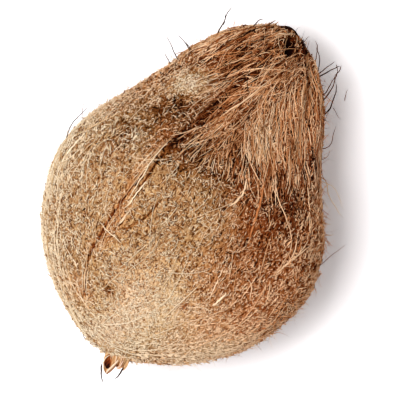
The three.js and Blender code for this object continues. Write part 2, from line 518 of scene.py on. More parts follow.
def tubeMesh(name, path, outward, half, values, sides=3):
    # A closed tube round each path of a (tubes, stations, 3) array: rings of a few corners between two end
    # points. A ring's corner is the path plus half the width times (outward cos q + sideways sin q).
    path = aboveGround(path, tubes["pathAbove"])
    count, stations = path.shape[:2]
    rings = stations - 2
    forward = unit(np.gradient(path, axis=1))
    sideways = unit(np.cross(forward, outward))
    raised = np.cross(sideways, forward)
    turn = np.arange(sides) * 2 * np.pi / sides
    spokes = raised[:, 1:-1, None] * np.cos(turn)[:, None] + sideways[:, 1:-1, None] * np.sin(turn)[:, None]
    ringPoints = path[:, 1:-1, None] + half[:, 1:-1, None, None] * spokes
    points = np.concatenate([path[:, :1], ringPoints.reshape(count, rings * sides, 3), path[:, -1:]], axis=1)
    points[..., 2] = np.maximum(points[..., 2], tubes["cornerAbove"])

    one, sizes = ringFaces(rings, sides)
    tube = np.arange(count)[:, None]
    corners = (one + points.shape[1] * tube).ravel()
    starts = (faceStarts(sizes) + len(one) * tube).ravel()

    # Each tube has its own small cell of the map: its length runs across the cell and its sides up it. The
    # places of a face's corners up its side are listed, and 9 stands for the corner that a triangle lacks.
    ringAt = np.concatenate([[0], np.repeat(np.arange(rings) + 1, sides), [rings + 1]]) / (rings + 1)
    faceShape = np.repeat([[0.5, 1, 0, 9], [0, 1, 1, 0], [0, 1, 0.5, 9]],
                          [sides, (rings - 1) * sides, sides], axis=0)
    cornerUp = (np.tile(np.arange(sides), rings + 1)[:, None] + faceShape)[faceShape < 5] / sides
    across = int(np.ceil(np.sqrt(count)))
    cell = np.stack([np.arange(count) % across, np.arange(count) // across], -1)
    local = tubes["margin"] + (1 - 2 * tubes["margin"]) * np.stack([ringAt[one], cornerUp], -1)
    uv = (cell[:, None] + local).reshape(-1, 2) / across

    spread = {}
    for key, value in values.items():
        inner = np.repeat(value[:, 1:-1], sides, axis=1)
        spread[key] = np.concatenate([value[:, :1], inner, value[:, -1:]], axis=1).ravel()
    return writeMesh(name, points.reshape(-1, 3), corners, starts, spread, uv)


def alike(value, stations):  # each tube's value, the same at all of its stations
    return np.repeat(value[:, None], stations, 1)


# --- the skin under the felt

skin = {
    "rows": 190,
    "columns": 330,
    "fineFrom": math.radians(-42),  # closer columns round the upper ridge and its crack
    "fineTo": math.radians(-6),
    "fineness": 2.4,
    "below": 0.30,  # how far the skin lies inside the solid's surface
    "clearance": 0.45,  # of the skin above the ground
    "lumps": [(9, 11, 0.24), (4, 12, 0.16), (2.2, 13, 0.12)],  # size, seed and height
    "pitEdge": (0.35, 1.15),  # from the pit's floor to the end of its wall, as shares of its outline
    # The skin is darker than the coir over it: partly darker coir, partly painted shade for the gaps between
    # the fibres.
    "tone": -0.42,
    "hold": 0.2,  # how little it follows the stains and the painted shade and light
    "cutShade": 0.15,  # painted shade: tone lost in the cuts and in the pit
    "pitShade": 0.8,
    "tuftSpan": (80, 120),  # stations over which the tuft's streaks take over
    "tuftTone": -0.02,
    "warmth": -0.12,
}


def makeSkin():
    # Rows of equal arc length and columns crowded round the ridge; each point is the surface, sunk a little
    # and raised or lowered by noise, the cut bands and the pit.
    turn = np.linspace(-np.pi, np.pi, 4000)
    crowd = 1 + skin["fineness"] * (ramp(turn, skin["fineFrom"] - 0.15, skin["fineFrom"])
                                    - ramp(turn, skin["fineTo"], skin["fineTo"] + 0.15))
    walked = np.cumsum(crowd)
    angles = np.interp(np.linspace(walked[0], walked[-1], skin["columns"], endpoint=False), walked, turn)
    along, angle = np.meshgrid(np.linspace(0, 1, skin["rows"] + 1), angles, indexing="ij")
    points, outward = surface(along, angle), surfaceFrame(along, angle)[1]
    cut = np.zeros(along.shape)
    for line, half, _, _, depth in marks["bands"]:
        cut += depth * np.exp(-(lineDistance(points, line) / half) ** 2)
    pit = 1 - ramp(pitDistance(points), *skin["pitEdge"])
    relief = noiseSum(points, skin["lumps"]) - cut - nut["pit"]["depth"] * pit - skin["below"]
    poles = ramp(plainRadius(along), 0, 3)
    tuftShare = ramp(stationAt(along), *skin["tuftSpan"])
    tone, warm = toneOf(points)
    tone = tone + (marks["base"] - tone) * skin["hold"] + skin["tone"] + skin["tuftTone"] * tuftShare
    # Painted shade in the cuts and the pit.
    tone -= skin["cutShade"] * np.minimum(cut, 1) + skin["pitShade"] * pit
    points = points + outward * (relief * poles - skin["below"] * (1 - poles))[..., None]
    values = {"tone": tone, "warm": warm + skin["warmth"], "combed": np.clip(tuftShare + 0.15, 0, 1)}
    return closedSheet("skin", aboveGround(points, skin["clearance"]), values)


def skinMaterial():
    # Grains: noise drawn out along the nut, above a threshold pale and below another one dark. On the tuft
    # long streaks take over, from noise drawn out much further.
    m = NodeTree(bpy.data.materials.new("coirSkin"))
    place = m.add("ShaderNodeTexCoord", output="Object")
    combed = m.attribute("combed")
    grain = m.noise(m.stretched(place, (1, 0.45, 1)), 1500, 1.0, 0.5, 0.6)
    # Dark pits, also sunk by the bump: painted shade in small holes.
    shadedPits = 1 - m.noise(m.stretched(place, (1, 0.5, 1)), 1100, 1.5, 0.55, 0.9).smooth(0.38, 0.46)
    streak = m.noise(m.stretched(place, (1, 0.10, 1)), 900, 2.0, 0.55, 0.3)
    mottle = m.noise(place, 160, 2.0, 0.6)
    pattern = (grain - 0.5) * (1.5 - combed) * 0.6 + (streak - 0.5) * (combed + 0.3) * 0.7
    tone = m.attribute("tone") + (pattern + (mottle - 0.5) * 0.25) - shadedPits * 0.33
    height = grain * 0.5 + streak * combed * 0.6 - shadedPits
    bump = m.add("ShaderNodeBump", {}, {"Strength": 0.8, "Distance": 0.0005, "Height": height})
    return m.principled(Base_Color=coirColour(m, tone.clamped(), m.attribute("warm")),
                        Roughness=0.9, Specular_IOR_Level=0.0, Normal=bump)


skinPiece = addPiece("skin", makeSkin(), skinMaterial())
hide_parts("coconut")


# --- fibres that creep over the surface

def fibreMaterial(name, grain=0.20):
    # The fibre's own tone, with a little noise so that no fibre is of one colour.
    m = NodeTree(bpy.data.materials.new(name))
    streak = m.noise(m.add("ShaderNodeTexCoord", output="Object"), 700, 1.0)
    tone = m.attribute("tone") + (streak - 0.5) * grain
    return m.principled(Base_Color=coirColour(m, tone.clamped(), m.attribute("warm")),
                        Roughness=0.9, Specular_IOR_Level=0.0)


def creep(along, angle, heading, length, stations, curl, wobble, rng, flow=None):
    # Steps over the surface: each one turns the heading by the curl and a little chance, then moves along by
    # cos(heading) and around by sin(heading) over the local radius. With a flow the heading counts from it.
    step = length / (stations - 1)
    alongs, angles = [along], [angle]
    for _ in range(stations - 1):
        heading = heading + curl * step + wobble * rng.normal(size=len(length))
        way = heading + flow(along, angle) if flow else heading
        along = np.clip(along + np.cos(way) * step / arcLength, 0.004, 0.996)
        angle = angle + np.sin(way) * step / np.maximum(plainRadius(along), 2.5)
        alongs.append(along)
        angles.append(angle)
    return np.stack(alongs, 1), np.stack(angles, 1)


def places(count, rng, fromStation=0.0, toStation=160.0):
    # Random places spread evenly by area: a place along the outline is drawn in proportion to its radius.
    span = np.linspace(alongOf(fromStation), alongOf(toStation), 2000)
    weight = np.cumsum(plainRadius(span) + 0.6)
    along = np.interp(rng.random(count) * weight[-1], weight, span)
    return along, rng.uniform(-np.pi, np.pi, count)


def scattered(groups, rng):
    # Places for each group: how many, from and to which station and angle, and a tone added, repeated for
    # each.
    found = []
    for count, reach, span, add in groups:
        along, _ = places(count, rng, *reach)
        found.append(np.column_stack([along, rng.uniform(*np.radians(span), count), np.full(count, add)]))
    return np.concatenate(found).T


def isBare(points):  # in a cut band, in the pit or on the dark lip round it
    cut = [lineDistance(points, line) < half for line, half, _, _, depth in marks["bands"] if depth]
    lip = [(lineDistance(points, line) < marks["lipHalf"]) & (points[..., 2] > marks["lipHeight"])
           for line, *_ in marks["bands"][-marks["lipBands"]:]]
    return np.any([*cut, *lip, pitDistance(points) < 1.0], axis=0)


def fibres(name, along, angle, lift, half, tone, material, warmth=0.0, taper=0.35, sides=3, hold=0.0):
    # Tubes on given places: lifted off the surface, thick in the middle and thin at both ends. They take the
    # tone of the coir below, less the share held back, and their own tone grows where that coir is dark.
    base, outward, _, _ = surfaceFrame(along, angle)
    path = base + outward * lift[..., None]
    share = np.linspace(0, 1, along.shape[1])
    width = half[:, None] * np.sin(np.pi * np.clip(share, 0.06, 0.94)) ** taper
    regional, warm = (value.mean(1) for value in toneOf(base[:, 1::2]))
    tone = tone * (1 + marks["contrast"] * np.clip(marks["base"] - regional, 0, 0.4))
    values = {"tone": np.clip(regional + (marks["base"] - regional) * hold + tone, 0, 1),
              "warm": np.clip(warm + warmth, -1, 2)}
    values = {key: alike(value, along.shape[1]) for key, value in values.items()}
    return addPiece(name, tubeMesh(name, path, outward, width, values, sides), material)


felt = {
    "curl": 0.24,  # radians of turn per millimetre
    "half": (0.11, 0.22),
    "spread": (1.0, 0.45),  # how far headings stray from the nut's axis, on the -X side and on the +X side
    "uneven": 0.18,
    # Dark fibres: partly darker coir, partly painted shade that stands in for the pits between fibres.
    "darkShare": 0.14,
    "darker": -0.40,
    "darkWider": 0.8,
    "darkWarmth": 0.10,
    "warmth": 0.04,
    "warmthUneven": 0.06,
    "glints": (0.35, 0.14),  # share of lighter fibres, and how much lighter they are on the +X side
    "root": 0.30,  # how deep their ends sit
    "gaps": (1.1, -0.34),  # size of the bare spots, and the noise value below which there is one
    "clumps": (1.5, 0.22, 0.45),  # size of the clumps, how much lighter and how much higher they lie; lighter where higher, partly painted light and shade of the lumps
    "looseShare": 0.45,  # fibres of the top layer whose far end stands free
    "layers": {  # seed, fibres, stations, length, how high the middle of a fibre stands, tone added, a little lower for the lower layers as painted shade under the upper ones
        "feltUnder": (21, 28000, 3, (0.9, 3.0), (0.0, 0.25), -0.02),
        "feltMiddle": (22, 28000, 3, (0.9, 3.2), (0.10, 0.50), 0.08),
        "feltOver": (23, 15000, 4, (1.5, 4.6), (0.25, 0.85), 0.12),
    },
}


def makeFelt(name, seed, count, stations, length, rise, lighter):
    rng = np.random.default_rng(seed)
    along, angle = places(count, rng, 0.3, 157)
    aside = ramp(np.sin(angle), -0.3, 0.8)
    spread = felt["spread"][0] + (felt["spread"][1] - felt["spread"][0]) * aside
    heading = rng.normal(0, 1, count) * spread
    length = length[0] + (length[1] - length[0]) * rng.random(count) ** 1.4
    curl = rng.normal(0, felt["curl"], count)
    alongs, angles = creep(along, angle, heading, length, stations, curl, 0.2, rng)
    points = surface(alongs, angles)
    clear = ~isBare(points).any(1) & (softNoise(points[:, 1], felt["gaps"][0], 24) > felt["gaps"][1])
    share = np.linspace(0, 1, stations)
    clump = softNoise(points[:, 1] * (1, 0.6, 1), felt["clumps"][0], 25)
    peak = rng.uniform(*rise, count)[:, None] + felt["clumps"][2] * np.maximum(clump, 0)[:, None]
    arched = -felt["root"] + (peak + felt["root"]) * np.sin(np.pi * share) ** 0.6
    loose = (rng.random(count) < felt["looseShare"] * (name == "feltOver"))[:, None]
    lift = np.where(loose, -felt["root"] + (2 * peak + felt["root"]) * share**0.8, arched)
    # Clumps are lighter where they stand higher: partly painted light and shade of the lumps.
    tone = lighter + rng.normal(0, felt["uneven"], count) + felt["clumps"][1] * clump
    dark = rng.random(count) < felt["darkShare"]
    warmth = rng.normal(felt["warmth"], felt["warmthUneven"], count) + felt["darkWarmth"] * dark
    glints, glintTone = felt["glints"]
    tone = tone + felt["darker"] * dark + glintTone * aside * (rng.random(count) < glints)
    half = rng.uniform(*felt["half"], count) * (1 + felt["darkWider"] * dark)
    fibres(name, alongs[clear], angles[clear], lift[clear], half[clear], tone[clear],
           feltMaterial, warmth[clear])


feltMaterial = fibreMaterial("coirFelt")
for layer, facts in felt["layers"].items():
    makeFelt(layer, *facts)


# --- long fibres that lie over the felt

longFibres = {
    "groups": [  # fibres, from and to which station and angle, tone added
        (290, (8, 128), (-180, 180), -0.03),
        (150, (8, 110), (-128, -48), -0.02),
    ],
    "length": (9, 34),
    "half": (0.09, 0.19),
    "spread": 0.30,
    "curl": 0.03,
    "rise": (0.5, 1.2),  # how high their middles stand
    "uneven": 0.12,
    "stations": 8,
}


def makeLongFibres():
    rng = np.random.default_rng(41)
    stations = longFibres["stations"]
    along, angle, lighter = scattered(longFibres["groups"], rng)
    count = len(along)
    length = rng.uniform(*longFibres["length"], count)
    heading = np.pi + rng.normal(0, longFibres["spread"], count)
    curl = rng.normal(0, longFibres["curl"], count)
    alongs, angles = creep(along, angle, heading, length, stations, curl, 0.10, rng)
    share = np.linspace(0, 1, stations)
    lift = -0.2 + rng.uniform(*longFibres["rise"], count)[:, None] * np.sin(np.pi * share) ** 0.5
    tone = lighter + rng.normal(0, longFibres["uneven"], count)
    fibres("longFibres", alongs, angles, lift, rng.uniform(*longFibres["half"], count), tone, feltMaterial)


makeLongFibres()


# --- the combed tuft

tuft = {
    "crown": (8.0, 62.0),  # plan point where the upper strands run straight along the nut
    "lean": 0.25,  # how the line of such points leans towards +X as it goes to the tip
    "turn": math.radians(31),  # how far strands turn off the nut's axis at most
    "width": 9.0,  # how far aside of that line they have turned by three quarters
    "stray": 0.17,
    "crossing": 0.03,  # share of the strands that may cross the cuts and the pit
    "hold": 0.25,  # how little they follow the stains and the painted shade and light below
    "reach": [  # degrees from the top, and the station reached there
        (-180, 96), (-125, 104), (-95, 124), (-78, 129), (-60, 128), (-40, 125), (-28, 114), (-20, 97),
        (-14, 84), (0, 80), (25, 84), (40, 93), (55, 101), (75, 105), (110, 102), (180, 96),
    ],
    "wisps": 7.0,  # how far single strands run on past that
    "root": 0.25,  # how deep their ends sit
    "poleFade": (1, 9),  # outline radii over which strands rise from lying flat on the tip
    "clumps": (2.6, 33, 0.20),  # size, seed and how much lighter
    "uneven": 0.20,
    "warmthUneven": 0.05,
    "curl": 0.014,
    "length": (6, 36),
    "stations": 9,
    "layers": {  # seed, strands, how high they lie, half width, tone added, lower for the lower layer as painted shade under the upper strands
        "tuftUnder": (31, 2300, (0.0, 0.35), (0.12, 0.22), -0.26),
        "tuftOver": (32, 3600, (0.15, 0.95), (0.10, 0.24), 0.02),
    },
}


def combing(along, angle):
    # The heading of combed strands. In plan they turn off the nut's axis by a tanh of how far they are aside
    # of a leaning line; the step along and around that gives this in plan comes from a two by two system.
    point, _, tip, around = surfaceFrame(along, angle)
    aside = point[..., 0] - tuft["crown"][0] - tuft["lean"] * (point[..., 1] - tuft["crown"][1])
    turn = tuft["turn"] * np.tanh(aside / tuft["width"])
    x, y = np.sin(turn), -np.cos(turn)
    size = tip[..., 0] * around[..., 1] - tip[..., 1] * around[..., 0]
    forward = (x * around[..., 1] - y * around[..., 0]) * np.sign(size)
    sideways = (y * tip[..., 0] - x * tip[..., 1]) * np.sign(size)
    off = wrapped(np.arctan2(sideways, forward) - np.pi)
    return np.pi + off * ramp(np.cos(angle), -0.1, 0.35)


def makeTuft(name, seed, count, rise, half, lighter):
    # Strands start anywhere on the tuft and run down with the combing, until about the station reached there.
    rng = np.random.default_rng(seed)
    stations = tuft["stations"]
    along, angle = places(5 * count, rng, 78, 157)
    corner, station = np.array(tuft["reach"]).T
    reach = np.interp(np.degrees(angle), corner, station)
    starts = stationAt(along) > reach + 4
    along, angle, reach = along[starts][:count], angle[starts][:count], reach[starts][:count]
    count = len(along)
    room = stationAt(along) - reach + rng.exponential(0.4 * tuft["wisps"], count)
    length = tuft["length"][0] + (tuft["length"][1] - tuft["length"][0]) * rng.random(count) ** 1.7
    length = np.minimum(length, room + 2)
    heading, curl = rng.normal(0, tuft["stray"], count), rng.normal(0, tuft["curl"], count)
    alongs, angles = creep(along, angle, heading, length, stations, curl, 0.09, rng, combing)
    share = np.linspace(0, 1, stations)
    peak = rng.uniform(*rise, count)[:, None]
    arch = np.sin(np.pi * np.clip(share, 0.02, 0.98)) ** 0.4
    lift = (-tuft["root"] + (peak + tuft["root"]) * arch) * ramp(plainRadius(alongs), *tuft["poleFade"])
    clump = noiseSum(surface(alongs[:, 3], angles[:, 3]) * (1, 0.25, 1), [tuft["clumps"]])
    tone = lighter + rng.normal(0, tuft["uneven"], count) + clump
    half, warmth = rng.uniform(*half, count), rng.normal(0, tuft["warmthUneven"], count)
    clear = ~isBare(surface(alongs, angles))[:, 1:-1:2].any(1) | (rng.random(count) < tuft["crossing"])
    past = np.interp(np.degrees(wrapped(angles[:, -1])), corner, station) - stationAt(alongs[:, -1])
    clear &= past < rng.exponential(tuft["wisps"], count)
    fibres(name, alongs[clear], angles[clear], lift[clear], half[clear], tone[clear],
           tuftMaterial, warmth[clear], taper=0.25, hold=tuft["hold"])


tuftMaterial = fibreMaterial("coirTuft")
for layer, facts in tuft["layers"].items():
    makeTuft(layer, *facts)


# --- strands laid one by one

laid = {
    "strands": [  # plan points, half width, tone added, height in the middle and at the far end
        ([(23, 28), (42, 13), (47, 3)], 0.26, 0.34, 1.3, 0.2),
        ([(21, 28), (25, 16), (28, 2)], 0.58, -0.06, 1.0, 0.5),
        ([(15, 24), (16.5, 17), (14.5, 10)], 0.42, 0.20, 0.9, 0.6),
        ([(52, 14), (47, 3), (44, -6)], 0.40, 0.26, 1.0, 0.2),
        ([(44, 16), (47, 7), (46.5, 0)], 0.24, 0.26, 0.9, 0.2),
        ([(50, 16), (48.5, 6), (45.5, -3)], 0.24, 0.22, 1.0, 0.2),
        ([(37, 36), (43, 27), (50, 16)], 0.26, 0.24, 0.9, 0.4),
        ([(35, -11), (38.5, -13), (41, -19)], 0.24, 0.22, 0.8, 0.3),
        ([(44, -7), (46, -12), (48, -18)], 0.22, 0.22, 0.8, 0.3),
        ([(24.5, -12), (25.5, -20), (26.5, -27)], 0.26, 0.12, 0.8, 0.3),
        ([(19, -34), (27, -30), (30, -32)], 0.20, 0.08, 0.6, 0.2),
        ([(31, -20), (28.7, -28)], 0.5, 0.06, 1.3, 0.4),
        ([(-27.5, -21), (-21, -22.5), (-15, -24)], 0.20, 0.12, 1.1, 0.8),
        ([(-51, 10), (-54, -6), (-53, -16)], 0.40, 0.10, 0.6, 0.1),
        ([(-58, -8), (-55, -20)], 0.40, 0.10, 0.6, 0.1),
        ([(-32, 52), (-21, 51), (-11, 52)], 0.13, -0.55, 1.3, 0.6),
        ([(9, 80.5), (3, 62.5), (-2, 49), (-8, 36), (-15, 11)], 0.20, 0.10, 1.2, 0.3),
        ([(14, 77.5), (5, 63.5), (-1, 52), (-5, 40), (-10, 24)], 0.18, 0.05, 1.1, 0.3),
        ([(2, 60), (-2, 50), (-7, 40)], 0.34, 0.30, 1.5, 0.5),
        ([(17, 73.5), (4, 69.5), (-10, 60), (-17, 46)], 0.20, 0.20, 1.2, 0.4),
        ([(10, 84.5), (-2, 75.5), (-14, 63.5), (-22, 50)], 0.18, 0.16, 1.0, 0.3),
        ([(-4, 82.5), (0, 85), (3, 87.5)], 0.20, 0.30, 1.4, 0.8),
        ([(1.8, 87.8), (-1.4, 83.5), (-4.7, 78.7)], 0.11, 0.20, 1.5, 0.6),
        ([(-3, 75.5), (1, 75), (4.3, 73.9)], 0.12, 0.20, 1.3, 0.5),
        ([(4.3, 73.9), (5.8, 77.5), (5.6, 81.5), (4.8, 84.5)], 0.08, 0.12, 1.6, 0.8),
        ([(-3.6, 85.9), (-1.6, 80.1), (1.6, 76.9)], 0.12, 0.20, 1.4, 0.5),
        ([(-8, 77.8), (-8.3, 73.5), (-8.1, 70)], 0.12, 0.25, 1.3, 0.5),
        ([(-0.5, 87), (1, 81.5), (3.4, 76.2)], 0.08, 0.12, 1.5, 0.7),
        ([(2.2, 83.5), (3.8, 82), (3, 79.5)], 0.06, 0.1, 1.2, 0.6),
        ([(-12, 72.5), (-15, 71.1), (-17.5, 67.1)], 0.13, 0.25, 1.2, 0.4),
        ([(6.2, 87.5), (8.7, 84.1), (12.3, 80.1)], 0.18, -0.05, 0.8, 0.4),
        ([(7, 86.5), (8.5, 81.5), (11.2, 78.3)], 0.16, 0.08, 0.8, 0.4),
        ([(7.5, 84.5), (7.9, 80.5), (8.8, 76.5)], 0.14, 0.0, 0.7, 0.4),
        ([(8.5, 86), (11, 80.5), (14.4, 75.2)], 0.16, 0.02, 0.8, 0.4),
        ([(4, 65.5), (1.4, 59.6), (-0.8, 52.4), (-4.2, 44)], 0.20, 0.40, 1.6, 0.6),
        ([(-19.8, 22), (-21, 14), (-21.6, 6), (-21.6, -1), (-21.8, -8)], 0.22, 0.50, 1.4, 0.4),
        ([(-20.8, 14), (-22.2, 6), (-22.8, -2)], 0.11, 0.30, 0.8, 0.3),
        ([(-19, 3), (-20, -3), (-20.9, -10.3)], 0.30, 0.50, 1.2, 0.4),
        ([(-19.2, 4), (-20.4, -5), (-21.4, -12)], 0.16, 0.40, 0.9, 0.3),
    ],
    "bundles": [  # plan points, strands, how far they spread sideways, half width, tone added, height
        ([(-18.6, -9), (-20.6, -21)], 3, 0.25, 0.16, 0.25, 0.8),
        ([(-18, 32), (-21, 20), (-23.5, 6), (-25, -12)], 7, 1.4, 0.12, 0.02, 0.5),
        ([(3, 62), (-1, 46), (-5, 34), (-9, 20)], 18, 2.2, 0.15, 0.06, 0.8),
        ([(-25, -34), (-22, -44), (-18, -51.5)], 6, 0.9, 0.16, 0.02, 0.5),
    ],
    "stations": 14,
}


def layStrands():
    # A single strand follows its own line. A bundle's strands start and end by chance along the line and keep
    # their distance aside of it. The height rises as a sine to the middle and ends at the last height.
    rng = np.random.default_rng(51)
    share = np.linspace(0, 1, laid["stations"])
    lines, heights, halves, tones = [], [], [], []
    for line, half, tone, middle, end in laid["strands"]:
        lines.append(smoothLine(line, laid["stations"]) + rng.normal(0, 0.12, (laid["stations"], 2)))
        arch = np.sin(np.pi * np.clip(share, 0, 0.9)) ** 0.6
        heights.append(middle * arch * (1 - share) + end * share - 0.1)
        halves.append(half)
        tones.append(tone)
    for line, count, aside, half, tone, middle in laid["bundles"]:
        fine = smoothLine(line, 60)
        for _ in range(count):
            first, last = sorted(rng.uniform(0, 1, 2) * (0.45, 0.5) + (0, 0.5))
            points = fine[np.linspace(first * 59, last * 59, laid["stations"]).astype(int)]
            points = smoothLine(points, laid["stations"]) + (rng.normal(0, aside), 0)
            points[:, 0] += 0.25 * aside * np.sin(share * rng.uniform(2, 6) + rng.uniform(0, 6))
            lines.append(points)
            heights.append(rng.uniform(0.3, 1) * middle * np.sin(np.pi * share) ** 0.5 - 0.1)
            halves.append(half * rng.uniform(0.7, 1.2))
            tones.append(tone + rng.normal(0, 0.08))
    plan = np.array(lines)
    along, angle = under(plan[..., 0], plan[..., 1])
    fibres("laidStrands", along, angle, np.array(heights), np.array(halves), np.array(tones), tuftMaterial,
           warmth=-0.2, taper=0.4, sides=4)


layStrands()


# --- stray hairs that stand off the surface

strays = {
    "groups": [  # hairs, from and to which station and angle, tone added
        (420, (2, 158), (-180, 180), -0.05),
        (170, (84, 150), (58, 110), -0.1),
        (130, (10, 84), (70, 115), 0.0),
        (100, (60, 150), (-115, -70), -0.15),
        (40, (125, 158), (-80, 60), -0.2),
    ],
    "length": (2.5, 10.0),
    "out": (0.25, 0.95),  # how steeply they leave the surface
    "half": 0.10,
    "drawnWider": 2.4,
    "drawnTone": 0.55,
    "drawnWarmth": 0.3,
    "uneven": 0.15,
    "stations": 9,
    "drawn": [  # plan points from the root outwards, height above the ground, half width, tone added
        ([(19.5, 78.5), (18, 82.5), (16.5, 85), (14.5, 86.5), (13, 89.5)], 46, 0.11, -0.45),
        ([(16.5, 81), (15, 85.5), (13, 89), (11, 90.5)], 46, 0.09, -0.4),
        ([(19, 76.5), (21.5, 82.5), (22.5, 84.5), (23.5, 87)], 46, 0.12, -0.45),
        ([(19.5, 75), (21.5, 79), (25, 84.5), (27, 86.5)], 46, 0.15, -0.5),
        ([(24, 86), (26, 84), (27, 81), (26, 78.5)], 46, 0.09, -0.4),
        ([(26.5, 86.5), (27, 84), (26.5, 81.5), (27.5, 78.5)], 45, 0.10, -0.4),
        ([(25.5, 68.5), (26.5, 73.5), (26.5, 79), (26.5, 82)], 46, 0.13, -0.35),
        ([(27, 67.5), (28, 75.5), (27.5, 78.5), (26.5, 83)], 46, 0.14, -0.4),
        ([(29, 61.5), (31.5, 67), (31, 71), (30.5, 74.5), (29.5, 77), (27.5, 79.5)], 46, 0.16, -0.5),
        ([(32, 69.5), (34, 68.5), (36, 67), (38, 66.5)], 44, 0.07, -0.35),
        ([(35.5, 74), (34.5, 76.5), (34, 79.5)], 44, 0.09, -0.35),
        ([(35, 50), (38.5, 53), (39.5, 55.5), (38.5, 59), (37.5, 63.5)], 44, 0.10, -0.3),
        ([(22, 72.5), (23.5, 74.5), (25, 75.5), (25, 74)], 46, 0.06, -0.3),
        ([(7.5, 85.5), (8, 89), (8.5, 90.5)], 48, 0.07, -0.4),
        ([(10.5, 83.5), (10, 86.5), (9.5, 89)], 48, 0.06, -0.3),
        ([(36, 45), (40.5, 49), (40.5, 53)], 45, 0.08, -0.2),
        ([(31.5, 55), (33, 59), (31.5, 62.5)], 46, 0.08, 0.0),
        ([(-34, 53), (-40, 57), (-44, 60)], 60, 0.11, -0.5),
        ([(-31, 58.5), (-36.5, 61.5), (-40.5, 62.5)], 58, 0.11, -0.5),
        ([(-31, 59), (-36, 62)], 58, 0.10, -0.5),
        ([(-36, 50), (-41, 53)], 58, 0.10, -0.5),
        ([(-33, 58), (-36, 56), (-37, 54)], 58, 0.08, -0.35),
        ([(-25.5, 69.5), (-26, 77.5), (-26.5, 81.5), (-25.5, 85)], 54, 0.14, -0.5),
        ([(-25, 75.5), (-27, 80.5)], 54, 0.10, -0.5),
        ([(-14, 81.5), (-13.5, 85), (-12, 87)], 52, 0.12, -0.45),
        ([(-10, 83), (-8.5, 86.5), (-7, 89)], 52, 0.1, -0.4),
        ([(-57.5, -2), (-59.5, 7), (-58, 13.5), (-57, 19)], 64, 0.11, -0.5),
        ([(-56.5, 11), (-59, 16), (-60, 19)], 64, 0.07, -0.35),
        ([(39, 42), (46, 40), (48.5, 36.5), (54, 33), (60, 30.5)], 48, 0.11, 0.4),
        ([(42, 39), (47, 40), (50.5, 39.5), (54.5, 36.5), (58, 33.5)], 49, 0.07, 0.35),
        ([(47, 40), (46, 36.5), (46.5, 34.5)], 50, 0.08, 0.35),
        ([(42, 34), (49, 32.5), (52, 31)], 49, 0.09, 0.35),
        ([(45, 33), (48, 31), (48.5, 28), (47, 23)], 55, 0.11, 0.3),
        ([(50, 23), (54.5, 25), (57, 25.5)], 52, 0.10, 0.3),
        ([(53, 16), (57, 21), (59.5, 22), (58, 23)], 50, 0.12, 0.3),
        ([(56, 10), (57, 15), (57, 18), (58, 20)], 52, 0.13, 0.2),
        ([(59, 2), (62, 11), (64, 16.5), (66.5, 22)], 48, 0.08, -0.25),
        ([(58, 6), (61, 6), (62.5, 5), (64, 3.5)], 50, 0.09, 0.25),
        ([(58.5, 0.5), (61.5, 0), (64, -1), (66, -3)], 50, 0.09, 0.25),
        ([(58, -8), (61, -8), (63.5, -8.5), (66, -9)], 50, 0.10, 0.25),
        ([(52, -24), (55.5, -27), (57, -31)], 50, 0.08, 0.0),
        ([(-18, -61), (-12.5, -65.5), (-8, -69)], 62, 0.10, -0.35),
        ([(-27, -56), (-24, -58), (-20, -61), (-15, -63.5), (-9.5, -65.5)], 60, 0.12, -0.3),
        ([(-13, -63), (-7.5, -66.5), (-3, -69)], 62, 0.09, -0.35),
        ([(-41, -41), (-35, -47), (-29, -53), (-24, -57.5)], 60, 0.09, -0.3),
        ([(1.5, -73), (3, -76), (4.5, -78), (6.5, -80)], 66, 0.17, -0.5),
        ([(10.5, -69), (10.5, -72), (10.2, -74), (9.5, -76)], 66, 0.19, -0.5),
        ([(9.5, -67.5), (9, -69.5), (8, -71.5)], 67, 0.09, -0.3),
    ],
}


def makeStrays():
    # A chance hair leaves its root along the surface and outwards at once, and bends as it goes: its place is
    # root + length (along-part s + outward-part s^1.2), with a little wave. Drawn hairs follow their plan
    # points.
    rng = np.random.default_rng(61)
    stations = strays["stations"]
    along, angle, lighter = scattered(strays["groups"], rng)
    count = len(along)
    root, outward, tip, around = surfaceFrame(along, angle)
    heading = np.where(rng.random(count) < 0.6, np.pi, 0) + rng.normal(0, 0.7, count)
    lying = tip * np.cos(heading)[:, None] + around * np.sin(heading)[:, None]
    across = np.cross(outward, lying)
    share = np.linspace(0, 1, stations)[None, :, None]
    length = rng.uniform(*strays["length"], count)[:, None, None]
    steep = rng.uniform(*strays["out"], count)[:, None, None]
    wave = 0.12 * np.sin(share * rng.uniform(2, 5, (count, 1, 1)) + rng.uniform(0, 6, (count, 1, 1)))
    bend = rng.normal(0, 0.35, (count, 1, 1)) * share**2
    paths = (root[:, None] + length * (lying[:, None] * share * np.sqrt(1 - 0.8 * steep**2)
                                       + outward[:, None] * steep * 0.75 * share**1.2
                                       + across[:, None] * (wave * share + bend)))
    paths[..., 2] = np.maximum(paths[..., 2], 0.3)
    tone, warm = toneOf(root)
    tones, warms = tone + lighter + rng.normal(0, strays["uneven"], count), warm
    halves = strays["half"] * rng.uniform(0.7, 1.3, count)
    outwards = np.repeat(outward[:, None], stations, 1)
    for line, height, half, add in strays["drawn"]:
        plan = smoothLine(line, stations) + rng.normal(0, 0.10, (stations, 2))
        path = np.column_stack([plan, height + rng.normal(0, 1) * np.linspace(0, 1, stations)])
        paths = np.concatenate([paths, path[None]])
        outwards = np.concatenate([outwards, np.broadcast_to([0.0, 0.0, 1.0], (1, stations, 3))])
        halves = np.append(halves, half * strays["drawnWider"])
        warms = np.append(warms, strays["drawnWarmth"])
        tones = np.append(tones, strays["drawnTone"] + add)
    width = halves[:, None] * (1 - 0.6 * np.linspace(0, 1, stations) ** 2)
    values = {"tone": alike(np.clip(tones, 0, 1), stations), "warm": alike(np.clip(warms, -1, 2), stations)}
    addPiece("strayHairs", tubeMesh("strayHairs", paths, outwards, width, values), feltMaterial)


makeStrays()


# --- the stump of husk at the blunt end

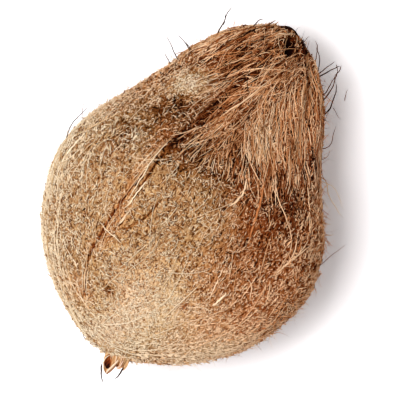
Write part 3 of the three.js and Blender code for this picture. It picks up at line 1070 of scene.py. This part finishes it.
stump = {
    "bodies": {  # points of the axis, half widths along it, how high it is for its width
        "huskStub": ([(4.9, -56.8, 66), (5.9, -62.8, 66.6), (7.7, -67.8, 67), (8.9, -71, 67)],
                     (6.6, 6.2, 4.6, 2.4), 0.85),
        "huskSheath": ([(3.3, -58.8, 67), (3.3, -64.8, 67.6), (3.8, -69.8, 67.8), (5, -75.8, 67.4)],
                       (3.2, 3.0, 2.6, 0.5), 0.8),
    },
    "rows": 40,
    "columns": 40,
    "upperSpan": (67.2, 68.4),  # heights over which the upper side begins
    "opening": [(3.2, -69.2), (3.6, -71.3), (4.4, -73.8)],  # plan line of the dark opening in the sheath
    "openingHalf": 1.5,
    "slots": [[(7.9, -68), (7.8, -71)], [(9.5, -68), (9.7, -70)]],  # and of the dark slots in the stub
    "slotHalf": 0.5,
    "pressed": 2.0,  # how deep both are
    "roughness": [(2.2, 71, 0.30), (1.1, 72, 0.18)],  # size, seed and height
    "tone": 0.66,
    "straws": 90,
    "strawRoots": (5.1, 5.2),  # plan x of the middle straw, and how far aside the outer ones are
    "strawEnds": (7.3, 3.9),
    "strawStart": -61.8,  # plan y
    "strawLength": 8.6,
    "strawHalf": (0.12, 0.24),
    "strawTone": (0.70, 0.16),  # and how uneven it is
    "strawWarmth": (-0.5, 0.8),
    "lips": [  # points, half width, tone, warmth
        ([(7, -67.6, 71.4), (6.5, -70.2, 71), (5.7, -72.8, 69.9), (5, -75.7, 68.2)], 0.50, 0.88, -0.45),
        ([(7.2, -70, 70.2), (6.5, -72.8, 69.0), (5.5, -75.9, 67.2)], 0.60, 0.46, -0.5),
        ([(2.7, -68, 70.1), (1.8, -70.8, 69.6), (2.8, -73.6, 69.4), (4.8, -75.7, 68)], 0.24, 0.95, -0.2),
        ([(8.8, -67, 71), (8.9, -69.2, 70.6), (8.4, -70.6, 70), (7.6, -71.8, 69.2)], 0.38, 0.82, -0.8),
        ([(9.9, -69.4, 70), (9.3, -70.6, 69.4), (8.3, -71.7, 68.8)], 0.28, 0.80, 0.8),
        ([(10.7, -66.4, 70), (11.2, -68.6, 69), (10.8, -71, 68)], 0.42, 0.74, 0.3),
    ],
}


def bodyGrid(axis, halves, height):
    # Rings round a smooth axis: a ring is cos q across plus sin q upwards, times a half width that is
    # interpolated along the axis and drawn in as a quarter circle at both ends.
    line = smoothLine(axis, stump["rows"])
    share = np.linspace(0, 1, stump["rows"])
    forward = unit(np.gradient(line, axis=0))
    across = unit(np.cross(forward, (0, 0, 1)))
    upwards = np.cross(across, forward)
    half = np.interp(share, np.linspace(0, 1, len(halves)), halves)
    half = half * np.sqrt(1 - ramp(np.abs(share - 0.5), 0.42, 0.5) ** 2)
    turn = np.linspace(0, 2 * np.pi, stump["columns"], endpoint=False)
    rings = across[:, None] * np.cos(turn)[:, None] + upwards[:, None] * np.sin(turn)[:, None] * height
    return line[:, None] + rings * half[:, None, None]


def planDistance(points, line):
    return np.min([np.hypot(points[..., 0] - x, points[..., 1] - y) for x, y in smoothLine(line, 24)], axis=0)


def makeStump():
    # Two rounded bodies, rough like the felt, with a dark opening and slots pressed into their upper side;
    # their darkness is painted shade.
    m = NodeTree(bpy.data.materials.new("coirHusk"))
    place = m.add("ShaderNodeTexCoord", output="Object")
    streak = m.noise(m.stretched(place, (1, 0.25, 1)), 1300, 2.0, 0.6)
    tone = (m.attribute("tone") + (streak - 0.5) * 0.7).clamped()
    bump = m.add("ShaderNodeBump", {}, {"Strength": 0.8, "Distance": 0.0005, "Height": streak})
    material = m.principled(Base_Color=coirColour(m, tone, m.attribute("warm")), Roughness=0.85, Normal=bump,
                            Specular_IOR_Level=0.05)
    for name, (axis, halves, height) in stump["bodies"].items():
        grid = bodyGrid(axis, halves, height)
        above = ramp(grid[..., 2], *stump["upperSpan"])
        if name == "huskSheath":
            pressed = np.exp(-(planDistance(grid, stump["opening"]) / stump["openingHalf"]) ** 4)
        else:
            apart = [planDistance(grid, slot) for slot in stump["slots"]]
            pressed = sum(0.8 * np.exp(-(away / stump["slotHalf"]) ** 2) for away in apart)
        pressed = np.clip(pressed, 0, 1) * above
        rise = noiseSum(grid, stump["roughness"]) * above - stump["pressed"] * pressed
        grid = grid + (0, 0, 1) * rise[..., None]
        # Painted shade in the opening and slots, deeper further along the stub.
        dark = 0.34 + 0.36 * ramp(-grid[..., 1], 69.5, 72.5)
        tone = stump["tone"] - pressed * dark + 0.10 * softNoise(grid, 1.5, 73)
        warm = 0.1 + 0.6 * pressed + 0.4 * ramp(-grid[..., 1], 67, 73)
        addPiece(name, closedSheet(name, grid, {"tone": tone, "warm": np.clip(warm, 0, 1)}), material)


def makeLips():
    # Rolled edges, and straws that run from the nut down over the stub.
    rng = np.random.default_rng(71)
    stations = laid["stations"]
    paths, halves, tones, warms = [], [], [], []
    for line, half, tone, warm in stump["lips"]:
        paths.append(smoothLine(line, stations) + rng.normal(0, 0.05, (stations, 3)))
        halves.append(half)
        tones.append(tone)
        warms.append(warm)
    # A straw lies on the stub: its height is that of an ellipse whose half width shrinks along the stub.
    share = np.linspace(0, 1, stations)
    (rootX, rootAside), (endX, endAside) = stump["strawRoots"], stump["strawEnds"]
    for _ in range(stump["straws"]):
        side = rng.uniform(-1, 1)
        start, end = rootX + rootAside * side, endX + endAside * side
        reach = rng.uniform(0.35, 1)
        x = start + (end - start) * share * reach + rng.normal(0, 0.3)
        y = stump["strawStart"] - stump["strawLength"] * share * reach + rng.normal(0, 0.8)
        half = 5.9 - 2.0 * ramp(-y, 62.8, 70.8)
        middle = 5.2 + 0.33 * (stump["strawStart"] - y)
        z = 66.8 + 0.84 * half * np.sqrt(np.clip(1 - ((x - middle) / half) ** 2, 0.02, 1))
        z = z + 0.25 * np.sin(np.pi * share) - 0.3 * (share > 0.95)
        paths.append(np.stack([x, y, z], -1))
        halves.append(rng.uniform(*stump["strawHalf"]))
        tones.append(rng.normal(*stump["strawTone"]))
        warms.append(rng.uniform(*stump["strawWarmth"]))
    path = np.array(paths)
    width = np.array(halves)[:, None] * np.sin(np.pi * np.clip(share, 0.1, 0.9)) ** 0.4
    values = {"tone": alike(np.clip(tones, 0, 1), stations), "warm": alike(np.clip(warms, -1, 1), stations)}
    mesh = tubeMesh("huskLips", path, np.broadcast_to((0.0, 0.0, 1.0), path.shape), width, values, 6)
    addPiece("huskLips", mesh, tuftMaterial)


makeStump()
makeLips()


# --- floor, light and camera

studio = {
    "centre": (3.05, 6.8),  # what the camera looks down on, in millimetres of the plan
    "distance": 1.2,
    "frameWidth": 0.1688,  # what the picture spans at the silhouette's height
    "turn": math.radians(30),  # the picture's right is this far round from +X
    "world": 0.44,
    "floor": 0.8,
    "floorSeen": (1.30, 1.265, 1.28),  # for the camera, which makes it white where no shadow falls
    "floorSize": 2.0,
    "lamps": {  # power, size, distance, direction towards it
        "key": (10.0, 0.36, 1.1, (-0.225, -0.10, 1.0)),
        "fill": (2.4, 0.9, 1.1, (-0.65, -0.76, 0.5)),
    },
}


def makeStudio():
    scene = bpy.context.scene
    scene.view_settings.view_transform = "Standard"
    camera = bpy.data.objects.new("camera", bpy.data.cameras.new("camera"))
    scene.collection.objects.link(camera)
    x, y = (value * fromMm for value in studio["centre"])
    camera.location = (x, y, nut["spineHeight"] * fromMm + studio["distance"])
    camera.rotation_euler = (0, 0, studio["turn"])
    camera.data.sensor_width = 36
    camera.data.lens = camera.data.sensor_width * studio["distance"] / studio["frameWidth"]
    scene.camera = camera

    for name, (power, size, distance, towards) in studio["lamps"].items():
        lamp = bpy.data.objects.new(name, bpy.data.lights.new(name, "AREA"))
        scene.collection.objects.link(lamp)
        lamp.data.energy, lamp.data.size = power, size
        direction = unit(np.array(towards))
        lamp.location = tuple(direction * distance)
        lamp.rotation_euler = (math.acos(direction[2]), 0, math.atan2(direction[0], -direction[1]))

    # The world is white where the camera, a gloss or a clear body sees it, and plain light for the rest.
    world = NodeTree(bpy.data.worlds.new("studio"))
    scene.world = world.owner
    rays = ("Is Camera Ray", "Is Glossy Ray", "Is Transmission Ray")
    seen, glossy, through = (world.add("ShaderNodeLightPath", output=ray) for ray in rays)
    strength = seen.larger(glossy).larger(through) * (1 - studio["world"]) + studio["world"]
    background = world.add("ShaderNodeBackground", {}, {"Color": (1, 1, 1, 1), "Strength": strength})
    world.output(background, "ShaderNodeOutputWorld")

    side = studio["floorSize"]
    mesh = bpy.data.meshes.new("floor")
    corners = [(-side, -side, 0), (side, -side, 0), (side, side, 0), (-side, side, 0)]
    mesh.from_pydata(corners, [], [(0, 1, 2, 3)])
    floor = bpy.data.objects.new("floor", mesh)
    scene.collection.objects.link(floor)
    m = NodeTree(bpy.data.materials.new("paleFloor"))
    level = m.add("ShaderNodeLightPath", output="Is Camera Ray")
    colour = m.mix(level, (*[studio["floor"]] * 3, 1), (*studio["floorSeen"], 1))
    mesh.materials.append(m.output(m.add("ShaderNodeBsdfDiffuse", {}, {"Color": colour})))


makeStudio()
